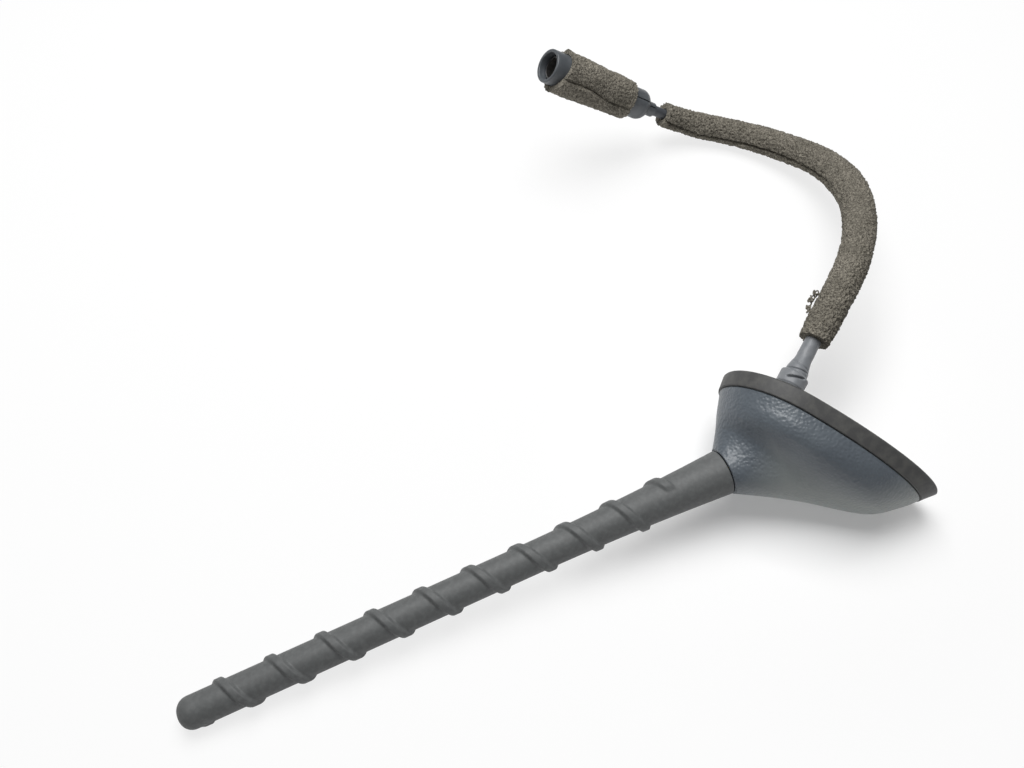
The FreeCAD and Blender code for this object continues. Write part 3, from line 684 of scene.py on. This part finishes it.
turn = around(sleeve_points)
path = stretch(sleeve_start, sleeve_end, sleeve_rows)
share = np.linspace(0, 1, len(path))
swell = np.interp(share, swell_at, swell_radius)[:, None]
plain = tube_rings(path, swell + 0 * turn, turn, table_normal)
cut_angle = cut_turn + cut_sway * np.sin(share * cut_waves)[:, None]
apart = (turn - cut_angle + np.pi) % (2 * np.pi) - np.pi
cut = cut_depth * smooth(*cut_from, share)[:, None] * bump(apart * swell, cut_width)
foam_radius = swell + lumps(plain, foam_lumps) - pits(plain, foam_pits) - cut
back = path[np.linspace(len(path) - 1, 0, bore_rows).astype(int)]
bore_rings = tube_rings(back, np.full((len(back), len(turn)), sleeve_bore), -turn, table_normal)
foam_rings = tube_rings(path, foam_radius, turn, table_normal)
sleeve = skin("foam_tube", np.vstack([foam_rings, bore_rings]), "base", ["foam_sleeve"],
              doughnut=True, sharp=foam_sharp)
paint(sleeve, "foam")

# %% Torn strand
# a loose strand of foam that curls away from the sleeve near the base: a thin tube along a path of
# loops, whose height over the sleeve, sway along it and side step are sums of waves
strand_from, strand_to, strand_loops, strand_radius = 9, 20, 8, 0.28
strand_rows, strand_points = 300, 8
t = np.linspace(0, 1, strand_rows)
loop = 2 * np.pi * strand_loops * t
beside = stretch(sleeve_start + strand_from, sleeve_start + strand_to, len(t))
ahead = unit(np.gradient(beside, axis=0))
outward = -unit(np.cross(ahead, table_normal))
lift = 6.0 + 1.8 * np.sin(np.pi * t) ** 0.7 + (0.5 + 0.6 * t) * np.sin(loop)
sway = 0.9 * np.cos(loop) + 0.5 * np.sin(2.3 * loop)
step = 0.8 * np.sin(0.37 * loop) + 0.5 * np.cos(0.61 * loop)
strand_path = (beside + outward * lift[:, None] + ahead * sway[:, None]
               + table_normal * step[:, None])
thin = np.full((len(t), strand_points), strand_radius)
strand = skin("torn_strand", tube_rings(strand_path, thin, around(strand_points), table_normal),
              "base")
paint(strand, "foam")

# %% [markdown]
# ## The connector
# The connector has a round shell with an open mouth, two half shells behind it and a strip of foam
# wrapped round it. The strip could be a sheet wound up by a cloth run, but its turn is so simple
# that a formula does: in section it is a spiral, whose radius grows round the turn and drops in one
# step where the strip's end lies over its start. The shell is a turned profile with rounded edges.

# %% Connector place
groove_side = np.array([0.32, 0.83, 0.0])
connector_x = unit(groove_side - connector_axis * (groove_side @ connector_axis))
connector_y = np.cross(connector_axis, connector_x)
CONNECTOR = (connector_mouth, np.array([connector_x, connector_y, connector_axis]))
print("the connector points along", connector_axis.round(3))

# %% Shell
shell_radius, mouth_radius, shell_length, mouth_depth, throat = 7.0, 5.6, 16.0, 9.0, 4.9
edge, shell_edge_rings, shell_points = 0.5, 6, 96
bend = np.linspace(0, np.pi / 2, shell_edge_rings)
profile = ([(throat, -shell_length), (throat, -mouth_depth), (mouth_radius, -mouth_depth)]
           + [(mouth_radius + edge * (1 - math.cos(a)), -edge * (1 - math.sin(a))) for a in bend]
           + [(shell_radius - edge * (1 - math.sin(a)), -edge * (1 - math.cos(a))) for a in bend]
           + [(shell_radius, -shell_length)])
radius, height = (np.array(column)[:, None] for column in zip(*profile))
turn = around(shell_points)[None, :]
shell = skin("connector_ring", turned_rings(radius, height, turn, CONNECTOR), "base",
             ["connector_shell"], doughnut=True)
paint(shell, "connector_plastic")

# %% Foam wrap
wrap_start, wrap_end, wrap_inner = -7.4, -44.0, 7.3
front_lap, lap_angle = 3.4, math.radians(-88)
wrap_rows, wrap_points, wrap_radius, wrap_growth, strip_thickness = 150, 220, 8.3, 0.9, 1.1
seam_front, seam_twist, seam_sway, seam_wave = math.radians(-40), math.radians(20), 0.06, 4
seam_depth, seam_width = 0.9, 0.7
wrap_lumps = [(0.25, 7.0, 13), (0.2, 3.0, 14), (0.25, 0.7, 17)]
wrap_pits = [(0.4, 0.15, 0.62, 1.4, 15)]
ragged_edge, ragged_size, ragged_salt, ragged_share = 0.6, 1.8, 16, 0.12

turn = around(wrap_points)[None, :]
share = np.linspace(0, 1, wrap_rows)[:, None]
lap = front_lap * (0.5 + 0.5 * np.cos(turn - lap_angle)) ** 2
height = wrap_end + (wrap_start - wrap_end) * share + lap * share ** 2
seam_angle = seam_front - seam_twist * (1 - share) + seam_sway * np.sin(height / seam_wave)
spiral = ((turn - seam_angle) % (2 * np.pi)) / (2 * np.pi)
swell = wrap_radius + wrap_growth * share + strip_thickness * (spiral - 0.5)
from_seam = np.minimum(spiral, 1 - spiral) * 2 * np.pi * swell
swell = swell - seam_depth * bump(from_seam, seam_width)
plain = turned_rings(swell, height, turn, CONNECTOR)
near_ends = smooth(ragged_share, 0, share) + smooth(1 - ragged_share, 1, share)
ragged = ragged_edge * soft_noise(plain, ragged_size, ragged_salt) * near_ends
swell = swell + lumps(plain, wrap_lumps) - pits(plain, wrap_pits)
wrap_rings = turned_rings(swell, height + ragged, turn, CONNECTOR)
bore = turned_rings(wrap_inner, np.vstack([height[-1:], height[:1]]), turn, CONNECTOR)
wrap = skin("connector_wrap", np.vstack([wrap_rings, bore]), "base", ["connector_foam"],
            doughnut=True, sharp=foam_sharp)
paint(wrap, "foam")

# %% [markdown]
# ## The rest of the parts
# The pieces inside, and the halves behind the connector's shell, could be modelled again. Their CAD
# shape already shows all that can be seen of them, so they keep it and only take the finish that
# the record names for each.

# %% Finishes on the CAD pieces
CAD_FINISH = {
    "mast_rod": "glass_fibre", "mast_winding": "copper", "mast_ferrule": "brass",
    "mast_o_ring": "seal_rubber", "base_plate": "die_casting", "mast_socket": "brass",
    "contact_spring": "spring_bronze",
    "amplifier_board": "circuit_board", "shield_can": "tinned_steel", "board_screws": "screw_steel",
    "cover_screws": "screw_steel", "cable_ferrule": "brass", "centre_wire": "copper",
    "connector_half_upper": "connector_plastic", "connector_half_lower": "connector_plastic",
    "connector_insulator": "insulator_plastic", "connector_contact": "plated_contact",
    "connector_shield": "plated_contact", "connector_crimp": "plated_contact",
}
for name, slot in CAD_FINISH.items():
    paint(nodes[name], slot)
print("CAD pieces with a finish:", len(CAD_FINISH))

# %% [markdown]
# ## The table, the light and the camera
# The part lies on a white table, on the side of its base, so the table is a tilted plane in the
# part's own frame. Far from the part the table glows a little for the camera, as an overexposed
# background does, and near the base it keeps its shadow. One large soft lamp and a dim white room
# give the soft contact shadows. The camera stands where the photograph was taken from.

# %% Table
table_offset, table_reach = -26.9, 1500.0
table_x = unit(np.cross(table_normal, [0, 0, 1]))
table_y = np.cross(table_normal, table_x)
corners = [table_normal * table_offset + table_reach * (x * table_x + y * table_y)
           for x, y in ((-1, -1), (1, -1), (1, 1), (-1, 1))]
table_mesh = bpy.data.meshes.new("table")
table_mesh.from_pydata((np.array(corners) * MM).tolist(), [], [(0, 1, 2, 3)])
table = bpy.data.objects.new("table", table_mesh)
bpy.context.scene.collection.objects.link(table)
print("the table lies", -table_offset, "mm from the stud's axis")

# %% Table finish
# white paper, matt: it takes a soft shadow, and washes out to plain white away from the part
dark_spot, dark_reach, clear_reach = np.array([25.0, -30.0, 20.0]), 35, 100
wash_near, wash_far, table_bounce, paper_white = 0.25, 0.8, 0.25, "#fdfdfd"
table_paint, tree, shader = finish("white table", paper_white, 0.9)
shader.inputs["Specular IOR Level"].default_value = 0.1
glow = add(tree, "ShaderNodeEmission", {
    "Color": linear(paper_white), "Strength": 1.0}).outputs["Emission"]
seen = add(tree, "ShaderNodeLightPath").outputs["Is Camera Ray"]
where = add(tree, "ShaderNodeTexCoord").outputs["Object"]
away = add(tree, "ShaderNodeVectorMath", {0: where, 1: tuple(dark_spot * MM)},
           operation="DISTANCE").outputs["Value"]
share = add(tree, "ShaderNodeMapRange", {
    "Value": away, "From Min": dark_reach * MM, "From Max": clear_reach * MM,
    "To Min": wash_near, "To Max": wash_far}).outputs["Result"]
wash = add(tree, "ShaderNodeMapRange", {
    "Value": seen, "To Min": table_bounce, "To Max": share}).outputs["Result"]
washed = add(tree, "ShaderNodeMixShader", {
    0: wash, 1: shader.outputs["BSDF"], 2: glow}).outputs["Shader"]

# from behind, the table is clear, so that the part can be seen from every side
facing_away = add(tree, "ShaderNodeNewGeometry").outputs["Backfacing"]
clear = add(tree, "ShaderNodeBsdfTransparent").outputs["BSDF"]
one_sided = add(tree, "ShaderNodeMixShader", {0: facing_away, 1: washed, 2: clear})
tree.links.new(one_sided.outputs["Shader"], tree.nodes["Material Output"].inputs["Surface"])
table.data.materials.append(table_paint)
print("table finish:", len(tree.nodes), "nodes")

# %% Light
room_level = 0.12
room = bpy.data.worlds.new("white room")
bpy.context.scene.world = room
room.use_nodes = True
tree = room.node_tree
path_kind = add(tree, "ShaderNodeLightPath").outputs
seen = add(tree, "ShaderNodeMath", {
    0: path_kind["Is Camera Ray"], 1: path_kind["Is Transmission Ray"]},
    operation="MAXIMUM").outputs["Value"]
level = add(tree, "ShaderNodeMapRange", {
    "Value": seen, "To Min": room_level, "To Max": 1.0}).outputs["Result"]
tree.nodes["Background"].inputs["Color"].default_value = (1, 1, 1, 1)
tree.links.new(level, tree.nodes["Background"].inputs["Strength"])

camera_place = np.array([-73.775, 347.642, 119.872])
camera_right = np.array([0.86184314, 0.07954538, -0.50089812])
camera_down = np.array([0.50601712, -0.2015584, 0.83864229])
camera_ahead = np.array([-0.03425011, -0.97624113, -0.21396304])


def stand(name, data, x, y, z, place):
    """Puts a lamp or a camera into the scene: it looks along -z, with x to its right and y up."""
    thing = bpy.data.objects.new(name, data)
    axes = np.column_stack([x, y, z, place * MM]).tolist()
    thing.matrix_world = Matrix(axes + [[0, 0, 0, 1]])
    bpy.context.scene.collection.objects.link(thing)
    return thing


# the lamp stands over the table, towards the top and the left of the picture
lamp_distance, lamp_size, lamp_power = 800, 600, 8.0
part_middle = np.array([-40.0, -20.0, -20.0])
lamp_z = unit(table_normal - 0.35 * camera_down - 0.15 * camera_right)
lamp_x = unit(np.cross([0.3, 0.1, 1.0], lamp_z))
softbox = bpy.data.lights.new("key softbox", "AREA")
softbox.size, softbox.energy = lamp_size * MM, lamp_power
stand("key softbox", softbox, lamp_x, np.cross(lamp_z, lamp_x), lamp_z,
      part_middle + lamp_distance * lamp_z)
print("lamp of", lamp_size, "mm at", lamp_distance, "mm")

# %% Camera
photo_width, focal_px, sensor = 1024, 1013.5, 36.0
camera = bpy.data.cameras.new("photo camera")
camera.sensor_width, camera.lens = sensor, focal_px / photo_width * sensor
camera.clip_start, camera.clip_end = 0.01, 20.0
eye = stand("photo camera", camera, camera_right, -camera_down, -camera_ahead, camera_place)
bpy.context.scene.camera = eye
bpy.context.scene.view_settings.view_transform = "Standard"
print("lens of", round(camera.lens, 1), "mm on a sensor of", sensor, "mm")
